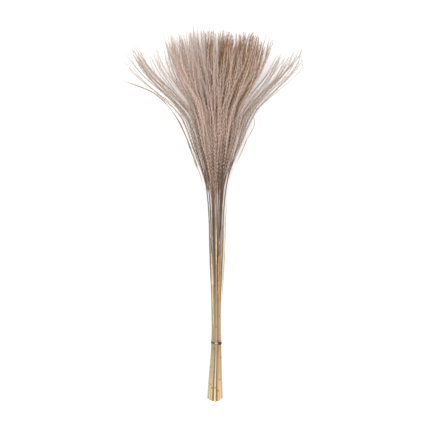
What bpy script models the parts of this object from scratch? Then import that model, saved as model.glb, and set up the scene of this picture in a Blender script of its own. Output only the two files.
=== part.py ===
"""A tied bundle of dried pampas grass, lying on a surface.

The bundle lies along +Y, from the cut ends to the tips of the plumes, with +Z up and its underside on z = 0.
Every stem carries one plume. A slice across the bundle at a distance s from the cut ends holds the stems at
places (u, v), which are scaled by the bundle's half width and half depth at that distance, so that the
outermost stems lie at radius 1. Lengths are in metres.
"""

import math
import random
from dataclasses import dataclass

import bmesh
import bpy
from mathutils import Matrix, Vector

LENGTH = 1.0
GAP = 0.0004

# Stems: packed like coins at the tie, one in the middle with 6 and then 12 round it.
STEM_RADIUS = 0.0024
STEM_TIP_RADIUS = 0.0013
STEM_SIDES = 6
STEM_RINGS = 13
PITCH = 2.0 * STEM_RADIUS + GAP
PACKED = 2.0 * PITCH
ROWS_EACH_SIDE = 2
CUT_UNEVEN = 0.010
CUT_SWING = 0.0035
SIDE_CUT_SHARE = 0.7
STRAY = 0.020
STRAY_SEED = 19

# The tie: its strap, its head on the right side and its trimmed tail.
TIE_AT = 0.16
TIE_WIDTH = 0.0048
TIE_THICKNESS = 0.0012
TIE_INNER = PACKED + STEM_RADIUS + 0.0007
TIE_SEGMENTS = 28
TIE_TURN = math.radians(3.0)
TIE_HEAD = Vector((0.0050, 0.0070, 0.0070))
TIE_HEAD_SUNK = 0.0008
TIE_HEAD_AT = math.radians(50.0)
TIE_TAIL = Vector((0.0012, 0.0043, 0.0062))

# Plumes.
PLUME_SIDES = 8
PLUME_RINGS = 9
PLUME_SHARE = 0.178
HEAD_LOW = 0.50
HEAD_HIGH = 0.59
TOP = 0.955
TOP_LOWER = 0.012
TOP_HIGHER = 0.016
SIDE_DROP = 0.045
UPPER_DROP = 0.030
TALLEST = (-0.25, 1)

# The fan: the outer plumes on each side stand apart from the middle ones.
LOOSE_FROM = TIE_AT + 0.05
LOOSE_TO = TIE_AT + 0.25
FAN_FROM = 0.56
FAN_TO = 0.78
SIDE_PLACE = 0.6
SIDE_NEAR = 0.80
SIDE_FAR = 0.925
SIDE_LIFT = 1.05
MIDDLE_SQUEEZE = 0.80

LEAF_THICKNESS = 0.0006
LEAF_STEPS = 14
LEAF_END_WIDTH = 0.45
SHARP = math.radians(50.0)

# Half width and half depth of the bundle, to the outermost stems' centres, by distance from the cut ends.
HALF_WIDTH = (
    (0.00, 0.0192),
    (0.16, PACKED),
    (0.27, PACKED),
    (0.40, 0.0165),
    (0.52, 0.0205),
    (0.60, 0.0306),
    (0.68, 0.0555),
    (0.76, 0.0840),
    (0.80, 0.1120),
    (0.84, 0.1560),
    (0.88, 0.1920),
    (0.92, 0.2170),
    (1.00, 0.2460),
)
HALF_DEPTH = (
    (0.00, 0.0125),
    (0.16, PACKED),
    (0.27, PACKED),
    (0.40, 0.0130),
    (0.52, 0.0165),
    (0.60, 0.0220),
    (0.68, 0.0320),
    (0.76, 0.0450),
    (0.84, 0.0600),
    (0.92, 0.0690),
    (1.00, 0.0700),
)
# Height of the bundle's middle over the surface. The stems span freely between the tie and the plumes.
MIDDLE_HEIGHT = (
    (0.00, 0.0132),
    (0.16, 0.0148),
    (0.27, 0.0178),
    (0.40, 0.0240),
    (0.52, 0.0310),
    (0.60, 0.0370),
    (0.68, 0.0450),
    (0.76, 0.0560),
    (0.84, 0.0690),
    (0.92, 0.0760),
    (1.00, 0.0770),
)
# Fullness of a plume along its own length, from the stem to the tips.
PLUME_SHAPE = (
    (0.00, 0.34),
    (0.15, 0.55),
    (0.35, 0.82),
    (0.55, 1.00),
    (0.82, 0.98),
    (0.95, 0.68),
    (1.00, 0.26),
)

# Each leaf: its width, then its route as (distance from the cut ends, u, v).
LEAVES = {
    "leaf_long_arch": (0.0040, (
        (0.620, -1.34, 0.35),
        (0.700, -1.20, 0.42),
        (0.770, -1.22, 0.40),
        (0.800, -1.22, 0.42),
        (0.823, -1.27, 0.45),
        (0.836, -1.43, 0.45),
        (0.848, -1.55, 0.40),
    )),
    "leaf_right_curl": (0.0022, (
        (0.640, 1.30, 0.45),
        (0.700, 1.28, 0.42),
        (0.725, 1.34, 0.45),
        (0.745, 1.30, 0.60),
        (0.760, 1.16, 0.75),
    )),
    "leaf_dark_blade": (0.0052, (
        (0.430, 0.46, 1.14),
        (0.530, 0.60, 1.18),
        (0.620, 0.50, 1.20),
        (0.710, 0.40, 1.24),
    )),
    "leaf_pale_sheath": (0.0030, (
        (0.280, 1.50, 0.25),
        (0.320, 1.45, 0.25),
        (0.390, 1.35, 0.22),
        (0.440, 1.33, 0.20),
        (0.540, 1.30, 0.15),
    )),
    "leaf_left_thread": (0.0020, (
        (0.610, -1.34, -0.30),
        (0.650, -1.24, -0.34),
        (0.690, -1.22, -0.38),
        (0.730, -1.27, -0.42),
    )),
    "leaf_low_thread": (0.0018, (
        (0.560, -1.36, 0.02),
        (0.620, -1.30, -0.04),
        (0.670, -1.28, -0.02),
        (0.710, -1.24, 0.02),
    )),
    "leaf_under_blade": (0.0080, (
        (0.340, -0.30, -1.32),
        (0.440, -0.42, -1.30),
        (0.540, -0.38, -1.28),
        (0.620, -0.52, -1.30),
    )),
    "leaf_old_sheath": (0.0056, (
        (0.200, -0.75, 1.20),
        (0.270, -0.80, 1.22),
        (0.340, -0.74, 1.16),
        (0.410, -0.80, 1.18),
    )),
}


def clear_scene():
    """Remove every object that the scene holds."""
    for thing in list(bpy.data.objects):
        bpy.data.objects.remove(thing, do_unlink=True)


def smooth_value(table, at):
    """Read a table of (place, value) pairs at one place, on a smooth curve through its points."""
    last = len(table) - 1
    at = min(max(at, table[0][0]), table[last][0])
    k = 0
    while k < last - 1 and at > table[k + 1][0]:
        k += 1
    (x0, y0), (x1, y1) = table[k], table[k + 1]
    before = table[max(k - 1, 0)]
    after = table[min(k + 2, last)]
    slope0 = (y1 - before[1]) / (x1 - before[0])
    slope1 = (after[1] - y0) / (after[0] - x0)
    span = x1 - x0
    t = (at - x0) / span
    level = y0 + (y1 - y0) * t * t * (3.0 - 2.0 * t)
    return level + span * t * (1.0 - t) * (slope0 * (1.0 - t) - slope1 * t)


def smooth_step(low, high, at):
    """Go gently from 0 at low to 1 at high."""
    t = min(max((at - low) / (high - low), 0.0), 1.0)
    return t * t * (3.0 - 2.0 * t)


def bundle_point(s, u, v):
    """Turn a place (u, v) in the slice at distance s into a point; the cut ends swing to the left."""
    x = u * smooth_value(HALF_WIDTH, s) - CUT_SWING * (1.0 - smooth_step(0.0, TIE_AT, s))
    z = smooth_value(MIDDLE_HEIGHT, s) + v * smooth_value(HALF_DEPTH, s)
    return Vector((x, s, z))


def packed_places():
    """List the close-packed stems from left to right, each as its u, its row and its v."""
    places = []
    for row in range(-ROWS_EACH_SIDE, ROWS_EACH_SIDE + 1):
        count = 2 * ROWS_EACH_SIDE + 1 - abs(row)
        for k in range(count):
            u = (k - (count - 1) / 2.0) / ROWS_EACH_SIDE
            v = row * math.sin(math.radians(60.0)) / ROWS_EACH_SIDE
            places.append((u, row, v))
    return sorted(places)


def fan_place(u, v):
    """Spread a packed place for the fan."""
    if abs(u) < SIDE_PLACE:
        return u * MIDDLE_SQUEEZE, v
    side = SIDE_FAR if abs(u) == 1.0 else SIDE_NEAR
    return math.copysign(side, u), v * SIDE_LIFT


@dataclass
class Stalk:
    """One stem and its plume: its place in the bundle, and where it is cut, flowers and ends."""

    number: int
    u: float
    v: float
    stray_u: float
    stray_v: float
    cut: float
    head: float
    tip: float

    def centre(self, s):
        """Give the stalk's centre at distance s."""
        fan_u, fan_v = fan_place(self.u, self.v)
        fan = smooth_step(FAN_FROM, FAN_TO, s)
        loose = smooth_step(LOOSE_FROM, LOOSE_TO, s)
        u = self.u + (fan_u - self.u) * fan + self.stray_u * loose
        v = self.v + (fan_v - self.v) * fan + self.stray_v * loose
        return bundle_point(s, u, v)

    def radius(self, s):
        """Give the stem's radius at distance s."""
        thin = smooth_step(TIE_AT, self.head, s)
        return STEM_RADIUS + (STEM_TIP_RADIUS - STEM_RADIUS) * thin


def make_stalks():
    """Set out the stalks, each a little different in place and length."""
    chance = random.Random(STRAY_SEED)
    stalks = []
    for number, (u, row, v) in enumerate(packed_places(), start=1):
        tip = TOP + chance.uniform(-TOP_LOWER, TOP_HIGHER)
        if abs(u) > SIDE_PLACE:
            tip -= SIDE_DROP * abs(u)
        if row == ROWS_EACH_SIDE:
            tip -= UPPER_DROP
        if (u, row) == TALLEST:
            tip = LENGTH
        uneven = SIDE_CUT_SHARE * abs(u) + (1.0 - SIDE_CUT_SHARE) * chance.random()
        stalk = Stalk(
            number=number,
            u=u,
            v=v,
            stray_u=chance.uniform(-STRAY, STRAY),
            stray_v=chance.uniform(-STRAY, STRAY),
            cut=CUT_UNEVEN * uneven,
            head=chance.uniform(HEAD_LOW, HEAD_HIGH),
            tip=tip,
        )
        stalks.append(stalk)
    middle = stalks[len(stalks) // 2]
    middle.cut = 0.0
    return stalks


def make_material(name, colour, roughness):
    """Make a plain material of one colour."""
    material = bpy.data.materials.new(name)
    material.use_nodes = True
    shader = material.node_tree.nodes["Principled BSDF"]
    shader.inputs["Base Color"].default_value = (*colour, 1.0)
    shader.inputs["Roughness"].default_value = roughness
    shader.inputs["Metallic"].default_value = 0.0
    return material


def oval_ring(centre, half_x, half_z, sides):
    """List the corners of an oval across the bundle."""
    ring = []
    for k in range(sides):
        angle = 2.0 * math.pi * (k + 0.5) / sides
        ring.append(centre + Vector((half_x * math.cos(angle), 0.0, half_z * math.sin(angle))))
    return ring


def closed_skin(name, rings, material):
    """Join rings of corners into one closed body, whose origin is the middle of its first ring."""
    origin = sum(rings[0], Vector()) / len(rings[0])
    shape = bmesh.new()
    loops = []
    for ring in rings:
        loops.append([shape.verts.new(corner - origin) for corner in ring])
    for low, high in zip(loops, loops[1:]):
        for k in range(len(low)):
            after = (k + 1) % len(low)
            shape.faces.new((low[k], low[after], high[after], high[k]))
    shape.faces.new(loops[0])
    shape.faces.new(loops[-1])
    bmesh.ops.recalc_face_normals(shape, faces=shape.faces)
    thing = mesh_object(name, shape)
    thing.data.shade_smooth()
    thing.data.set_sharp_from_angle(angle=SHARP)
    thing.data.materials.append(material)
    thing.location = origin
    return thing


def mesh_object(name, shape):
    """Turn a bmesh into an object of the scene."""
    mesh = bpy.data.meshes.new(name)
    shape.to_mesh(mesh)
    shape.free()
    thing = bpy.data.objects.new(name, mesh)
    bpy.context.collection.objects.link(thing)
    return thing


def make_stem(stalk, material):
    """Build a stem from its cut end to the foot of its plume."""
    rings = []
    for k in range(STEM_RINGS):
        s = stalk.cut + (stalk.head - stalk.cut) * k / (STEM_RINGS - 1)
        radius = stalk.radius(s)
        rings.append(oval_ring(stalk.centre(s), radius, radius, STEM_SIDES))
    return closed_skin(f"stem_{stalk.number:02d}", rings, material)


def make_plume(stalk, material):
    """Build the outer shape of a plume, from the top of its stem to its tips."""
    foot = stalk.head + GAP
    rings = []
    for k in range(PLUME_RINGS):
        along = k / (PLUME_RINGS - 1)
        s = foot + (stalk.tip - foot) * along
        full = PLUME_SHARE * smooth_value(PLUME_SHAPE, along)
        half_x = full * smooth_value(HALF_WIDTH, s)
        half_z = full * smooth_value(HALF_DEPTH, s)
        rings.append(oval_ring(stalk.centre(s), half_x, half_z, PLUME_SIDES))
    return closed_skin(f"plume_{stalk.number:02d}", rings, material)


def leaf_path(route):
    """Read a smooth path through a leaf's route."""
    across = [(s, u) for s, u, v in route]
    upward = [(s, v) for s, u, v in route]
    first = route[0][0]
    last = route[-1][0]
    path = []
    for k in range(LEAF_STEPS + 1):
        s = first + (last - first) * k / LEAF_STEPS
        path.append(bundle_point(s, smooth_value(across, s), smooth_value(upward, s)))
    return path


def leaf_ring(point, ahead, width):
    """List the four corners of a thin blade's cross-section, whose flat side faces the bundle's middle."""
    out = point - bundle_point(point.y, 0.0, 0.0)
    across = ahead.cross(out).normalized() * width / 2.0
    upward = across.cross(ahead).normalized() * LEAF_THICKNESS / 2.0
    return [point + across, point + upward, point - across, point - upward]


def make_leaf(name, width, route, material):
    """Build a thin leaf blade that lies along the bundle and narrows to both ends."""
    path = leaf_path(route)
    rings = []
    for k, point in enumerate(path):
        ahead = path[min(k + 1, LEAF_STEPS)] - path[max(k - 1, 0)]
        belly = math.sin(math.pi * k / LEAF_STEPS)
        narrowed = LEAF_END_WIDTH + (1.0 - LEAF_END_WIDTH) * belly
        rings.append(leaf_ring(point, ahead, width * narrowed))
    return closed_skin(name, rings, material)


def tie_strap():
    """Build the strap of the tie, a flat band round the packed stems."""
    shape = bmesh.new()
    outer = TIE_INNER + TIE_THICKNESS
    half = TIE_WIDTH / 2.0
    section = ((TIE_INNER, -half), (outer, -half), (outer, half), (TIE_INNER, half))
    loops = []
    for k in range(TIE_SEGMENTS):
        angle = 2.0 * math.pi * k / TIE_SEGMENTS
        away = Vector((math.cos(angle), 0.0, math.sin(angle)))
        loops.append([shape.verts.new(away * r + Vector((0.0, y, 0.0))) for r, y in section])
    for k in range(TIE_SEGMENTS):
        low = loops[k]
        high = loops[(k + 1) % TIE_SEGMENTS]
        for j in range(len(section)):
            after = (j + 1) % len(section)
            shape.faces.new((low[j], low[after], high[after], high[j]))
    bmesh.ops.recalc_face_normals(shape, faces=shape.faces)
    return mesh_object("tie", shape)


def add_box(thing, name, size, middle, turn):
    """Join a box to an object with a Boolean, after turning the box and its middle."""
    shape = bmesh.new()
    bmesh.ops.create_cube(shape, size=1.0)
    bmesh.ops.scale(shape, vec=size, verts=shape.verts)
    bmesh.ops.translate(shape, vec=middle, verts=shape.verts)
    bmesh.ops.transform(shape, matrix=turn, verts=shape.verts)
    box = mesh_object(name, shape)
    box.hide_render = True
    box.display_type = "WIRE"
    box.parent = thing
    union = thing.modifiers.new(name, "BOOLEAN")
    union.operation = "UNION"
    union.object = box


def make_tie(material):
    """Build the tie in one piece: strap, head at the upper right and tail down from it."""
    tie = tie_strap()
    up_round = Matrix.Rotation(-TIE_HEAD_AT, 4, "Y")
    head_x = TIE_INNER + TIE_THICKNESS - TIE_HEAD_SUNK + TIE_HEAD.x / 2.0
    add_box(tie, "tie_head_box", TIE_HEAD, Vector((head_x, 0.0, 0.0)), up_round)
    add_box(tie, "tie_tail_box", TIE_TAIL, Vector((head_x, 0.0, -TIE_TAIL.z / 2.0)), up_round)
    tie.data.materials.append(material)
    tie.location = bundle_point(TIE_AT, 0.0, 0.0)
    tie.rotation_euler = (0.0, 0.0, -TIE_TURN)
    return tie


def set_down(things):
    """Hang every piece on one empty, moved so that the bundle's box stands centred on the origin."""
    bpy.context.view_layer.update()
    corners = []
    for thing in things:
        corners.extend(thing.matrix_world @ vertex.co for vertex in thing.data.vertices)
    low = [min(corner[k] for corner in corners) for k in range(3)]
    high = [max(corner[k] for corner in corners) for k in range(3)]
    bundle = bpy.data.objects.new("bundle", None)
    bpy.context.collection.objects.link(bundle)
    for thing in things:
        thing.parent = bundle
    middle_x = (low[0] + high[0]) / 2.0
    middle_y = (low[1] + high[1]) / 2.0
    bundle.matrix_world = Matrix.Translation((-middle_x, -middle_y, -low[2]))


def main():
    """Build the whole bundle."""
    clear_scene()
    straw = make_material("straw", (0.55, 0.42, 0.26), 0.55)
    fluff = make_material("fluff", (0.45, 0.34, 0.28), 0.9)
    dry_leaf = make_material("dry_leaf", (0.33, 0.27, 0.16), 0.7)
    plastic = make_material("plastic", (0.02, 0.02, 0.02), 0.25)
    things = []
    for stalk in make_stalks():
        things.append(make_stem(stalk, straw))
        things.append(make_plume(stalk, fluff))
    for name, (width, route) in LEAVES.items():
        things.append(make_leaf(name, width, route, dry_leaf))
    things.append(make_tie(plastic))
    set_down(things)


main()
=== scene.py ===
import logging
import math
from collections.abc import Mapping, Sequence
from dataclasses import dataclass, field, fields, replace
from enum import Enum

import bmesh
import bpy
import numpy as np
from mathutils import Matrix, Vector


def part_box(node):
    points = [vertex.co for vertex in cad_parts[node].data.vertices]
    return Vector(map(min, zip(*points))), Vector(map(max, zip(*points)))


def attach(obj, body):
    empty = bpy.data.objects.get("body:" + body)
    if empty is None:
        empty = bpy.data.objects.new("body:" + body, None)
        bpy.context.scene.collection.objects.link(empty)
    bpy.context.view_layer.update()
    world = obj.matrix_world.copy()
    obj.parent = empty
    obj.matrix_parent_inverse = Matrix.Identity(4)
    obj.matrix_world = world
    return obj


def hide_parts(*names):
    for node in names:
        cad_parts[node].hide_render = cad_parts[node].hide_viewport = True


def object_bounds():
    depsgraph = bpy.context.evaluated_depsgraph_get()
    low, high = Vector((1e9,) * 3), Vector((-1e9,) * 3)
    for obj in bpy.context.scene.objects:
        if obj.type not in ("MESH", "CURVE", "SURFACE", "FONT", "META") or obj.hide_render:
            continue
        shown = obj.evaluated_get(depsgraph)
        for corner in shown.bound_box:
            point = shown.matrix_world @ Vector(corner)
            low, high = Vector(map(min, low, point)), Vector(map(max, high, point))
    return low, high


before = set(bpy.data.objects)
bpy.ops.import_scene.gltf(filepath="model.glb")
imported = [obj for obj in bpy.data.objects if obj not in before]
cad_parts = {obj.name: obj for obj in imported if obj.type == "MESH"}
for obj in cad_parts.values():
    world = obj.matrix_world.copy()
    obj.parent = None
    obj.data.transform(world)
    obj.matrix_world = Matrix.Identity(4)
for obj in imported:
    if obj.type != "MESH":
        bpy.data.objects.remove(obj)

# A tied bundle of dried pampas grass that lies on its side. Lengths are in metres and angles in radians. A
# share runs from 0 to 1, and a map is a piece's own flat layout, on which its finish is laid.

CAD_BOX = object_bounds()
BODY = "root"
STALKS = sum(name.startswith("stem_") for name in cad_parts)
MIDDLE_STALK = (STALKS + 1) // 2
SURFACE_MAP = "OFBake"
JOINT_MARK = "joint"
COLUMNS = 32
FLOOR_CLEARANCE = 0.0005
GOLDEN_ANGLE = math.pi * (3.0 - math.sqrt(5.0))
UP = np.array((0.0, 0.0, 1.0))
LENGTHWISE = np.array((0.0, 1.0, 0.0))

log = logging.getLogger("grass_bundle")

Colour = tuple[float, float, float, float]


def linear(code: str) -> Colour:
    """Turn a written colour into the light values that shaders use.

    Args:
        code: Six hexadecimal digits, red first.

    Returns:
        Red, green, blue and a full alpha.
    """
    shares = [int(code[k:k + 2], 16) / 255.0 for k in (0, 2, 4)]
    light = [s / 12.92 if s <= 0.04045 else ((s + 0.055) / 1.055) ** 2.4 for s in shares]
    return light[0], light[1], light[2], 1.0


# ---------------------------------------------------------------------------------------------------------
# Shader maths
# ---------------------------------------------------------------------------------------------------------


class Wire:
    """A number that changes over a surface, for use in Python expressions."""

    def __init__(self, paint: "Paint", socket: bpy.types.NodeSocket) -> None:
        """Wrap an output socket of a material under construction."""
        self.paint = paint
        self.socket = socket

    def maths(self, operation: str, *values: "Wire | float") -> "Wire":
        """Add a Math node, with the values in its sockets in order."""
        node = self.paint.add("ShaderNodeMath", {"operation": operation}, dict(enumerate(values)))
        return Wire(self.paint, node.outputs[0])

    def __add__(self, other: "Wire | float") -> "Wire":
        """Add."""
        return self.maths("ADD", self, other)

    def __radd__(self, other: float) -> "Wire":
        """Add to a number."""
        return self.maths("ADD", other, self)

    def __sub__(self, other: "Wire | float") -> "Wire":
        """Subtract."""
        return self.maths("SUBTRACT", self, other)

    def __rsub__(self, other: float) -> "Wire":
        """Subtract from a number."""
        return self.maths("SUBTRACT", other, self)

    def __mul__(self, other: "Wire | float") -> "Wire":
        """Multiply."""
        return self.maths("MULTIPLY", self, other)

    def __rmul__(self, other: float) -> "Wire":
        """Multiply a number."""
        return self.maths("MULTIPLY", other, self)

    def __pow__(self, other: float) -> "Wire":
        """Raise to a power."""
        return self.maths("POWER", self, other)

    def whole(self) -> "Wire":
        """Keep the whole part."""
        return self.maths("FLOOR", self)

    def rest(self) -> "Wire":
        """Keep what is left over from the whole part."""
        return self.maths("FRACT", self)

    def size(self) -> "Wire":
        """Drop the sign."""
        return self.maths("ABSOLUTE", self)

    def between(self, low: float, high: float) -> "Wire":
        """Go smoothly from 0 at low to 1 at high.

        Args:
            low: Where the result is 0.
            high: Where the result is 1.

        Returns:
            The share, held between 0 and 1.
        """
        settings = {"interpolation_type": "SMOOTHSTEP", "clamp": True}
        sockets = {"Value": self, "From Min": low, "From Max": high}
        node = self.paint.add("ShaderNodeMapRange", settings, sockets)
        return Wire(self.paint, node.outputs["Result"])


class Paint:
    """A material under construction round one Principled shader."""

    def __init__(self, name: str, roughness: float, **constants: float) -> None:
        """Start a material.

        Args:
            name: The material's name.
            roughness: The shader's roughness where nothing feeds it.
            constants: Other sockets of the shader, with underscores for spaces.
        """
        self.material = bpy.data.materials.new(name)
        self.material.use_nodes = True
        self.tree = self.material.node_tree
        self.tree.nodes.clear()
        self.shader = self.add("ShaderNodeBsdfPrincipled", {}, {"Roughness": roughness})
        for key, value in constants.items():
            self.shader.inputs[key.replace("_", " ")].default_value = value
        self.add("ShaderNodeOutputMaterial", {}, {"Surface": self.shader.outputs[0]})

    def add(
        self,
        kind: str,
        settings: Mapping[str, object],
        sockets: Mapping[str | int, object],
    ) -> bpy.types.Node:
        """Add a node.

        Args:
            kind: The node's type.
            settings: Its properties. The stops of a ramp are pairs of place and colour.
            sockets: Values or links for its inputs, by name or number.

        Returns:
            The node.
        """
        node = self.tree.nodes.new(kind)
        for key, value in settings.items():
            if key == "stops":
                self.set_stops(node.color_ramp, value)
            else:
                setattr(node, key, value)
        for key, value in sockets.items():
            source = value.socket if isinstance(value, Wire) else value
            if isinstance(source, bpy.types.NodeSocket):
                self.tree.links.new(source, node.inputs[key])
            else:
                node.inputs[key].default_value = source
        return node

    @staticmethod
    def set_stops(ramp: bpy.types.ColorRamp, stops: Sequence[tuple[float, Colour]]) -> None:
        """Give a ramp its stops.

        Args:
            ramp: The ramp.
            stops: Pairs of place and colour.
        """
        while len(ramp.elements) < len(stops):
            ramp.elements.new(1.0)
        for element, (place, colour) in zip(ramp.elements, stops):
            element.position = place
            element.color = colour

    def surface_place(self) -> tuple[Wire, Wire]:
        """Read the piece's own map.

        Returns:
            The coordinates across it and along it.
        """
        node = self.add("ShaderNodeUVMap", {"uv_map": SURFACE_MAP}, {})
        parts = self.add("ShaderNodeSeparateXYZ", {}, {0: node.outputs[0]})
        return Wire(self, parts.outputs[0]), Wire(self, parts.outputs[1])

    def mark(self, name: str) -> Wire:
        """Give a number that the mesh carries at its corners."""
        node = self.add("ShaderNodeAttribute", {"attribute_name": name}, {})
        return Wire(self, node.outputs["Fac"])

    def together(self, x: Wire | float, y: Wire | float, z: Wire | float) -> Wire:
        """Join three numbers to one vector."""
        return Wire(self, self.add("ShaderNodeCombineXYZ", {}, {0: x, 1: y, 2: z}).outputs[0])

    def noise(self, place: Wire, detail: float = 2.0, roughness: float = 0.5) -> Wire:
        """Give a cloudy number round 0.5 at a place that is already scaled."""
        sockets = {"Vector": place, "Scale": 1.0, "Detail": detail, "Roughness": roughness}
        return Wire(self, self.add("ShaderNodeTexNoise", {}, sockets).outputs[0])

    def grain(self, grain: "Grain", across: Wire, along: Wire) -> Wire:
        """Give a grain's number at a place on the map."""
        place = self.together(across * grain.across, along * grain.along, grain.layer)
        return self.noise(place, grain.detail, grain.roughness)

    def lot(self, number: Wire) -> Wire:
        """Draw a fixed number from 0 to 1 for each whole number."""
        settings = {"noise_dimensions": "1D"}
        return Wire(self, self.add("ShaderNodeTexWhiteNoise", settings, {"W": number}).outputs["Value"])

    def ramp(self, place: Wire, stops: Sequence[tuple[float, Colour]]) -> Wire:
        """Read a colour off a ramp."""
        node = self.add("ShaderNodeValToRGB", {"stops": stops}, {0: place})
        return Wire(self, node.outputs[0])

    def mix(self, share: Wire | float, low: Wire | Colour, high: Wire | Colour) -> Wire:
        """Mix two colours: a share of 0 gives the low one and 1 the high one."""
        node = self.add("ShaderNodeMix", {"data_type": "RGBA"}, {0: share, 6: low, 7: high})
        return Wire(self, node.outputs[2])

    def shade(self, amount: Wire, colour: Wire) -> Wire:
        """Darken or lighten a colour by one factor for all its channels."""
        node = self.add("ShaderNodeVectorMath", {"operation": "SCALE"}, {0: colour, "Scale": amount})
        return Wire(self, node.outputs[0])

    def feed(self, socket: str, value: Wire) -> None:
        """Link a result to one of the shader's sockets."""
        self.tree.links.new(value.socket, self.shader.inputs[socket])

    def emboss(self, height: Wire, depth: float, strength: float = 1.0) -> None:
        """Give the surface a fine relief, in which a height of 1 stands for the depth in metres."""
        sockets = {"Height": height, "Distance": depth, "Strength": strength}
        self.feed("Normal", Wire(self, self.add("ShaderNodeBump", {}, sockets).outputs[0]))


# ---------------------------------------------------------------------------------------------------------
# Finishes
# ---------------------------------------------------------------------------------------------------------


@dataclass(frozen=True)
class Grain:
    """A noise laid over a piece's own map: how fine it is each way, which layer of it, and how rough."""

    across: float
    along: float
    layer: float = 0.0
    detail: float = 2.0
    roughness: float = 0.5


@dataclass(frozen=True)
class FluffFinish:
    """Silky hairs on thin branches, dark and brown at the branch and pale at the hairs' ends."""

    name: str
    stalk: str
    branch: str
    hair: str
    pale: str
    foot: str
    end: str
    end_share: float
    flecks: Grain = Grain(500.0, 240.0, detail=1.0)
    drift: Grain = Grain(3.7, 6.0, 2.0)
    branch_rim: tuple[float, float] = (0.03, 0.34)
    pale_rim: tuple[float, float] = (0.30, 0.95)
    stalk_reach: tuple[float, float] = (0.10, 0.50)
    foot_reach: tuple[float, float] = (0.02, 0.45)
    foot_share: float = 0.6
    end_reach: tuple[float, float] = (0.62, 0.98)
    light: float = 0.78
    lot_light: float = 0.30
    fleck_light: float = 0.45
    drift_light: float = 0.55

    def material(self) -> bpy.types.Material:
        """Build the material, whose map holds one column for each branch.

        Returns:
            The material.
        """
        paint = Paint(self.name, 0.72, Sheen_Weight=0.15, Sheen_Roughness=0.4)
        across, along = paint.surface_place()
        column = (across * COLUMNS).whole()
        aside = ((across * COLUMNS).rest() - 0.5).size() * 2.0
        lot = paint.lot(column + 0.5)
        second_lot = paint.lot(column + 100.5)
        flecks = paint.grain(self.flecks, across, along)
        drift = paint.grain(self.drift, column, along)
        paleness = aside.between(*self.pale_rim) * (0.35 + 0.65 * second_lot)
        hair = paint.mix(paleness, linear(self.hair), linear(self.pale))
        # Near the plume's foot the hairs take the darker foot colour, and the branches the dark stalk
        # colour. This is partly their own tone and partly painted shade where the strands crowd together.
        near_foot = 1.0 - along.between(*self.foot_reach)
        hair = paint.mix(near_foot * self.foot_share, hair, linear(self.foot))
        branch = paint.mix(along.between(*self.stalk_reach), linear(self.stalk), linear(self.branch))
        colour = paint.mix(aside.between(*self.branch_rim), branch, hair)
        # Towards the branch ends the colour moves to the end colour. This is partly the hairs' own tone;
        # where that colour is paler, as in TAUPE, it is painted glow of light shining through the tips.
        end_share = along.between(*self.end_reach) * (self.end_share * (0.4 + 0.9 * lot))
        colour = paint.mix(end_share, colour, linear(self.end))
        light = self.light + lot * self.lot_light + (flecks - 0.5) * self.fleck_light
        light = light + (drift - 0.5) * self.drift_light
        paint.feed("Base Color", paint.shade(light, colour))
        paint.feed("Roughness", 0.62 + flecks * 0.22)
        return paint.material


@dataclass(frozen=True)
class StrawFinish:
    """A dried stem: pale straw at the cut end, duller above, with fibres, blotches and dark joints."""

    name: str
    foot: str
    middle: str
    top: str
    blotch: str
    joint: str
    blotch_share: float = 0.5
    joint_share: float = 0.6
    stages: tuple[float, float, float, float] = (0.02, 0.28, 0.62, 0.95)
    wander: float = 0.16
    fibres: Grain = Grain(26.0, 9.0, 0.0, 3.0, 0.6)
    threads: Grain = Grain(64.0, 14.0, 7.0, 2.0, 0.6)
    stripes: Grain = Grain(7.0, 2.2, 5.0)
    clouds: Grain = Grain(2.2, 8.0, 9.0, 3.0, 0.55)
    specks: Grain = Grain(24.0, 260.0, 3.0, 1.0)
    light: float = 0.80
    upper_shade: float = 0.12
    speck_shade: float = 0.22
    fibre_light: float = 0.75
    thread_light: float = 0.50
    stripe_light: float = 0.45
    relief: float = 0.00020

    def material(self) -> bpy.types.Material:
        """Build the material, whose map runs round the stem and along it.

        Returns:
            The material.
        """
        paint = Paint(self.name, 0.45, Specular_IOR_Level=0.4)
        across, along = paint.surface_place()
        fibres = paint.grain(self.fibres, across, along)
        threads = paint.grain(self.threads, across, along)
        stripes = paint.grain(self.stripes, across, along)
        clouds = paint.grain(self.clouds, across, along)
        specks = paint.grain(self.specks, across, along).between(0.66, 0.76)
        joint = paint.mark(JOINT_MARK)
        colours = [linear(code) for code in (self.foot, self.middle, self.middle, self.top)]
        wander = along + (clouds - 0.5) * self.wander
        colour = paint.ramp(wander, tuple(zip(self.stages, colours)))
        blotches = clouds.between(0.46, 0.66) * stripes.between(0.38, 0.62)
        away = 0.25 + 0.75 * along.between(0.10, 0.40)
        colour = paint.mix(blotches * away * self.blotch_share, colour, linear(self.blotch))
        colour = paint.mix(joint * self.joint_share, colour, linear(self.joint))
        light = self.light - along.between(0.08, 0.55) * self.upper_shade - specks * self.speck_shade
        light = light + (fibres - 0.5) * self.fibre_light + (threads - 0.5) * self.thread_light
        light = light + (stripes - 0.5) * self.stripe_light
        paint.feed("Base Color", paint.shade(light, colour))
        paint.feed("Roughness", 0.32 + fibres * 0.24 + specks * 0.2 + joint * 0.2)
        paint.emboss(fibres * 0.6 + threads * 0.4, self.relief, 0.9)
        return paint.material


@dataclass(frozen=True)
class PithFinish:
    """The cut through a stem: pale, spongy pith with darker pores."""

    name: str
    wall: str
    pore: str
    pores: Grain = Grain(60.0, 900.0)
    relief: float = 0.0001

    def material(self) -> bpy.types.Material:
        """Build the material, whose map runs round the cut and from its middle to its rim.

        Returns:
            The material.
        """
        paint = Paint(self.name, 0.85)
        pores = paint.grain(self.pores, *paint.surface_place())
        colour = paint.mix(pores.between(0.25, 0.50), linear(self.pore), linear(self.wall))
        paint.feed("Base Color", colour)
        paint.feed("Roughness", 0.75 + pores * 0.2)
        paint.emboss(pores, self.relief)
        return paint.material


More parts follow.
